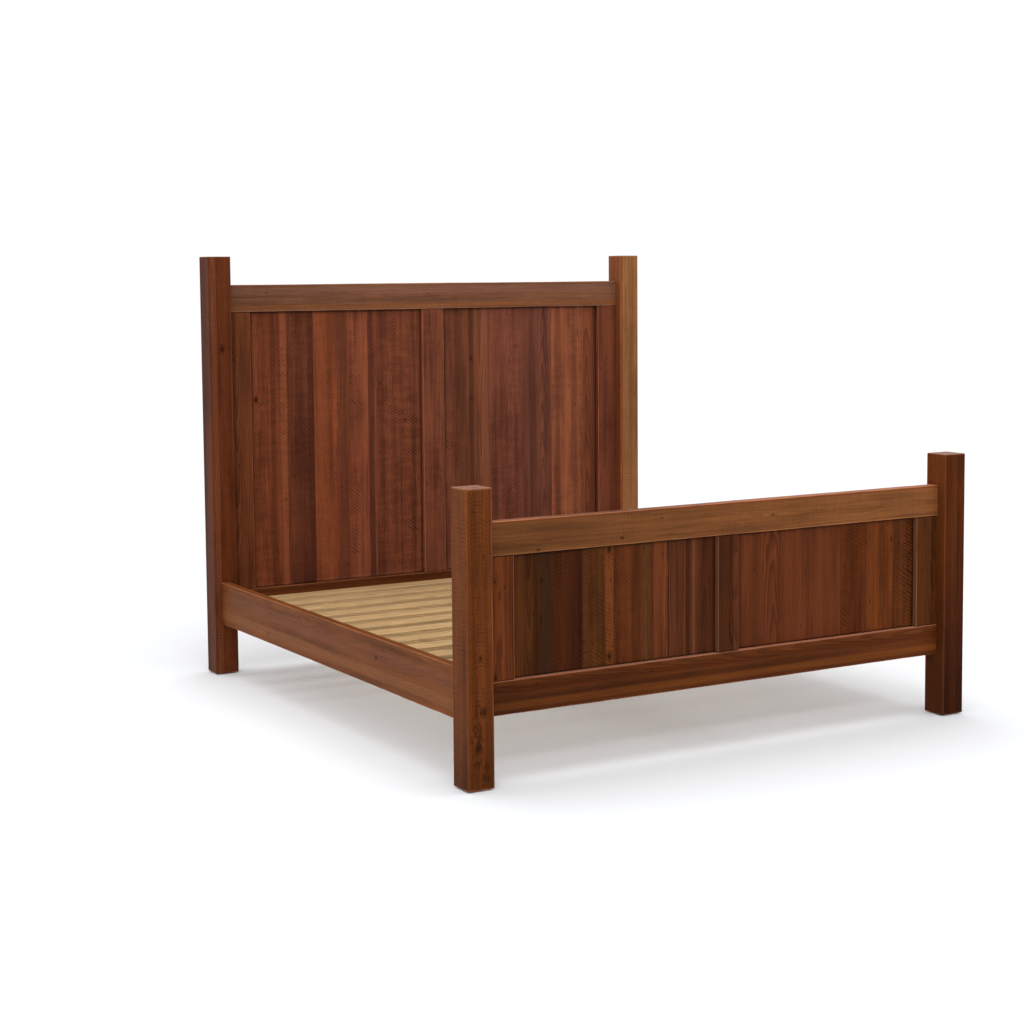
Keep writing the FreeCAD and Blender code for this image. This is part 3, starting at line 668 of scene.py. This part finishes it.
def stiles():
    """The uprights that frame the panels, with a stub tenon in each rail."""
    trim = ((0, 0, STUB), (0, 0, STUB))
    # painted shade at each end of a stile, where it meets a rail
    joints = (("u", 1, 0.0, 4 * MM), ("u", -1, 0.0, 4 * MM))
    shape = {"rounding": 2.5 * MM, "sag": 0.9 * MM, "trim": trim, "corners": joints}
    timber(
        "foot_stile_left", UPRIGHT, 121, **shape, tone="5a301d", figure=1.1, contrast=0.6,
        knots=((0.3, -0.22, 6 * MM),),
        holes=((-0.47, -0.22, 3 * MM),),
        # the pale line on the right edge: wear, with a painted highlight on its rounding
        bands=((0.49, 2 * MM, "85502f", 0.7),),
    )
    timber(
        "foot_stile_middle", UPRIGHT, 122, **shape, tone="442619",
        cracks=((-0.32, 0.05, 0.05, 2.2 * MM), (-0.38, 0.15, 0.03, 1.6 * MM)),
        # the pale band on the left edge is painted light on the lit left side face
        bands=((-0.49, 2 * MM, "75503a", 0.6), (0.4, 14 * MM, "5f3420", 0.6)),
    )
    timber(
        "foot_stile_right", UPRIGHT, 123, **shape, tone="4e2c1a",
        # the pale band on the left edge is painted light on the lit left side face
        bands=((0.1, 12 * MM, "5d3722", 0.4), (-0.49, 2.5 * MM, "75503a", 0.7)),
    )
    timber(
        "head_stile_left", UPRIGHT, 124, **shape, tone="603623",
        knots=((0.33, -0.25, 5 * MM),),
        bands=((-0.3, 10 * MM, "3f231a", 0.6),),
    )
    timber(
        "head_stile_middle", UPRIGHT, 125, **shape, tone="673b2c",
        saw=(0.7, 0.0, 10 * MM, 0.8),
        # the pale band on the left edge is painted light on the lit left side face
        bands=((-0.49, 2 * MM, "93553a", 0.6),),
    )
    timber(
        "head_stile_right", UPRIGHT, 126, **shape, tone="683a2a",
        saw=(0.3, 0.0, 10 * MM, 0.4),
    )


# saw marks that several boards share: slope, curve, pitch, strength and where a chevron folds
CHEVRON = (0.75, 0.0, 14 * MM, 1.0, 0.1)
SLANTED = (0.55, 0.0, 14 * MM, 1.0)

# the boards of each panel, from left to right
PANELS = {
    "foot_left": (
        {
            "tone": "452818",
            "bands": ((0.36, 22 * MM, "35231a", 0.85), (-0.25, 20 * MM, "55301c", 0.5)),
            "knots": ((0.25, 0.25, 7 * MM),),
            "cracks": ((-0.05, 0.2, 0.03, 2 * MM),),
        },
        {
            "tone": "3d2116",
            "saw": (-0.35, 0.0, 14 * MM, 0.8),
            "bands": ((0.42, 11 * MM, "55301f", 0.7),),
        },
        {
            "tone": "4f2e1a",
            "saw": (0.5, 0.0, 13 * MM, 0.7),
            "bands": ((0.3, 16 * MM, "6b3a20", 0.8),),
            "knots": ((0.44, 0.3, 12 * MM), (-0.4, 0.28, 13 * MM)),
        },
        {"tone": "542d1b", "saw": CHEVRON, "bands": ((0.3, 20 * MM, "503420", 0.6),)},
        {"tone": "5e3320", "bands": ((0.45, 3 * MM, "2b170e", 0.8),)},
        {
            "tone": "573120",
            "contrast": 1.2,
            "bands": (
                (-0.12, 9 * MM, "3a2015", 0.8),
                (0.0, 5 * MM, "69402c", 0.6),
                (0.3, 26 * MM, "3d2114", 0.6),
            ),
        },
    ),
    "foot_right": (
        {
            "tone": "5e321f",
            "figure": 1.3,
            "spread": 0.2,
            "contrast": 0.7,
            "bands": ((-0.46, 16 * MM, "4a2a1d", 0.6),),
        },
        {"tone": "512a18", "saw": SLANTED, "bands": ((0.48, 2 * MM, "764728", 0.5),)},
        {"tone": "62341c", "saw": (0.02, 0.0, 9 * MM, 0.6), "knots": ((0.3, 0.42, 9 * MM),)},
        {"tone": "58301b", "saw": (0.5, 0.0, 14 * MM, 1.7)},
    ),
    "head_left": (
        {
            "tone": "6b3a27",
            "saw": CHEVRON,
            "bands": ((0.36, 14 * MM, "7a4530", 0.8), (0.1, 12 * MM, "4d2b1e", 0.6)),
            "knots": ((0.18, -0.3, 9 * MM),),
        },
        {
            "tone": "593225",
            "saw": (-0.6, 0.0, 13 * MM, 1.0),
            "bands": ((0.4, 16 * MM, "4a2a22", 0.6),),
        },
        {
            "tone": "733e29",
            "saw": (0.5, 0.0, 13 * MM, 0.6),
            "bands": ((-0.25, 28 * MM, "7d452d", 0.5), (0.3, 26 * MM, "5c3427", 0.7)),
        },
        {"tone": "77422f", "saw": SLANTED, "bands": ((0.32, 14 * MM, "4c2c23", 0.85),)},
        {
            "tone": "6b3c2b",
            "saw": (0.7, 0.0, 13 * MM, 1.3, -0.1),
            "bands": ((0.38, 14 * MM, "724330", 0.5),),
            "knots": ((0.22, -0.42, 5 * MM), (0.08, 0.1, 7 * MM)),
        },
    ),
    "head_right": (
        {"tone": "653b2c", "saw": (0.6, 0.0, 13 * MM, 1.0)},
        {
            "tone": "693e2d",
            "bands": ((-0.1, 13 * MM, "482a20", 0.7), (0.35, 18 * MM, "7b4a38", 0.7)),
            "knots": ((0.3, -0.1, 8 * MM), (0.15, -0.1, 6 * MM)),
        },
        {"tone": "6b3e30", "saw": (-0.5, 0.0, 13 * MM, 0.8)},
        {"tone": "673d30", "figure": 1.3},
        {"tone": "804a34", "saw": CHEVRON, "bands": ((-0.3, 12 * MM, "5f3729", 0.5),)},
        {"tone": "683a28", "bands": ((0.2, 10 * MM, "533027", 0.6),)},
    ),
}


BOARD_SEED = 200


def boards():
    """The tongue-and-groove boards, each with its tongue on the right, but for a panel's last."""
    for index, (panel, looks) in enumerate(PANELS.items()):
        for number, look in enumerate(looks, 1):
            tongue = 0.0 if number == len(looks) else TONGUE
            # painted shade on the boards, under the rails and beside the stiles that overhang them
            corners = [("u", 1, GROOVE, 12 * MM), ("u", -1, GROOVE, 7 * MM)]
            if number == 1:
                corners.append(("v", -1, GROOVE, 18 * MM))
            if number == len(looks):
                corners.append(("v", 1, GROOVE, 12 * MM))
            timber(
                f"{panel}_board_{number}", UPRIGHT, BOARD_SEED + 10 * index + number,
                trim=((0, 0, 0), (tongue, 0, 0)), rounding=1.4 * MM, sag=0.8 * MM,
                corners=corners, wear_tone=1.1, **look,
            )


def side_rails():
    """The long rails, which hook onto the posts."""
    for seed, side in enumerate(("left", "right"), 131):
        timber(
            f"side_rail_{side}", LENGTHWAYS, seed, rounding=3 * MM, sag=1.2 * MM,
            tone="6c3f25", spread=0.24,
            saw=(0.3, 0.6, 11 * MM, 0.3),
            knots=((-0.2, 0.1, 7 * MM), (0.27, -0.3, 5 * MM)),
            bands=((0.15, 22 * MM, "6b4230", 0.5), (-0.25, 18 * MM, "7f5334", 0.5)),
        )


def deck():
    """Plain sanded softwood out of sight: slats, ledgers, centre beam and legs."""
    pine = {"spread": 0.14, "figure": 0.9, "contrast": 0.7, "gloss": 0.6, "wear_tone": 1.05}
    coarse = {"step": COARSE_STEP, **pine}
    timber("slats", FLAT, 141, rounding=2 * MM, sag=0.5 * MM, tone="b09068", **coarse)
    for seed, side in enumerate(("left", "right"), 161):
        timber(f"ledger_{side}", LENGTHWAYS, seed, rounding=2 * MM, tone="a08458", **coarse)
    timber("centre_beam", LENGTHWAYS, 163, rounding=3 * MM, tone="a68a60", **coarse)
    for number in (1, 2, 3):
        timber(f"centre_leg_{number}", UPRIGHT, 170 + number, rounding=3 * MM, tone="a68a60", **pine)


def hardware():
    """Better materials on the CAD's own plates, screws, bolts, hangers and glides."""
    steel = [node for node, slot in SLOTS.items() if slot == "zinc_steel"]
    for seed, node in enumerate(sorted(steel)):
        repaint(node, zinc_steel(seed))
    plastic = nylon()
    for node, slot in SLOTS.items():
        if slot == "nylon":
            repaint(node, plastic)


def repaint(node, material):
    """Gives a CAD piece another material."""
    mesh = frame["nodes"][node].data
    mesh.materials.clear()
    mesh.materials.append(material)


# ---------------------------------------------------------------- stage, light and camera


FLOOR_HALF = 40.0
FLOOR_COLOUR = (0.84, 0.855, 0.875)
# far from the bed the floor glows a little, so that no horizon shows
GLOW = 0.15
GLOW_STARTS = 2.5
GLOW_FULL = 9.0


def floor():
    """A wide pale floor that fades into the white surroundings."""
    half = FLOOR_HALF
    corners = [(-half, -half, 0), (half, -half, 0), (half, half, 0), (-half, half, 0)]
    mesh = bpy.data.meshes.new("floor")
    mesh.from_pydata(corners, [], [(0, 1, 2, 3)])
    g = Graph("pale_floor")
    g.shader.inputs["Base Color"].default_value = solid(FLOOR_COLOUR)
    g.shader.inputs["Roughness"].default_value = 0.9
    g.shader.inputs["Specular IOR Level"].default_value = 0.0
    g.shader.inputs["Emission Color"].default_value = WHITE
    away = g.tree.nodes.new("ShaderNodeVectorMath")
    away.operation = "LENGTH"
    g.put(away.inputs[0], g.place)
    glow = g.range(away.outputs["Value"], GLOW_STARTS, GLOW_FULL, 0.0, GLOW)
    g.put(g.shader.inputs["Emission Strength"], glow)
    mesh.materials.append(g.material)
    plane = bpy.data.objects.new("floor", mesh)
    bpy.context.scene.collection.objects.link(plane)


def softbox(name, place, target, width, power):
    """A square soft light of so many watts."""
    light = bpy.data.lights.new(name, "AREA")
    light.shape = "SQUARE"
    light.size = width
    light.energy = power
    lamp = bpy.data.objects.new(name, light)
    lamp.location = place
    aim = Vector(target) - Vector(place)
    lamp.rotation_euler = aim.to_track_quat("-Z", "Y").to_euler()
    bpy.context.scene.collection.objects.link(lamp)


def studio():
    """White surroundings, a soft key light from the camera's side and one overhead."""
    world = bpy.data.worlds.new("studio")
    world.use_nodes = True
    backdrop = world.node_tree.nodes["Background"]
    backdrop.inputs["Color"].default_value = WHITE
    backdrop.inputs["Strength"].default_value = 1.02
    bpy.context.scene.world = world
    softbox("key", place=(-3.4, -6.8, 4.6), target=(0, 0, 0.7), width=5.0, power=150)
    softbox("overhead", place=(0.0, 0.3, 5.0), target=(0, 0, 0), width=5.0, power=100)
    bpy.context.scene.view_settings.view_transform = "Standard"


EYE = (-3.92668, -6.34535, 1.64246)
YAW = math.radians(-30.25)
PITCH = math.radians(-4.92)
ROLL = math.radians(-0.48)
SENSOR_MM = 36.0
LENS_MM = 67.16
LENS_SHIFT = -0.0703


def camera():
    """A long lens at standing eye height, off the foot's left corner, shifted to frame the bed."""
    ahead = math.cos(PITCH)
    forward = Vector((-math.sin(YAW) * ahead, math.cos(YAW) * ahead, math.sin(PITCH)))
    level = Vector((math.cos(YAW), math.sin(YAW), 0.0))
    upright = level.cross(forward)
    right = level * math.cos(ROLL) + upright * math.sin(ROLL)
    up = upright * math.cos(ROLL) - level * math.sin(ROLL)
    lens = bpy.data.cameras.new("camera")
    lens.sensor_width = SENSOR_MM
    lens.lens = LENS_MM
    lens.shift_y = LENS_SHIFT
    eye = bpy.data.objects.new("camera", lens)
    turn = Matrix((right, up, -forward)).transposed().to_4x4()
    eye.matrix_world = Matrix.Translation(EYE) @ turn
    bpy.context.scene.collection.objects.link(eye)
    bpy.context.scene.camera = eye


posts()
cross_rails()
stiles()
boards()
side_rails()
deck()
hardware()
floor()
studio()
camera()
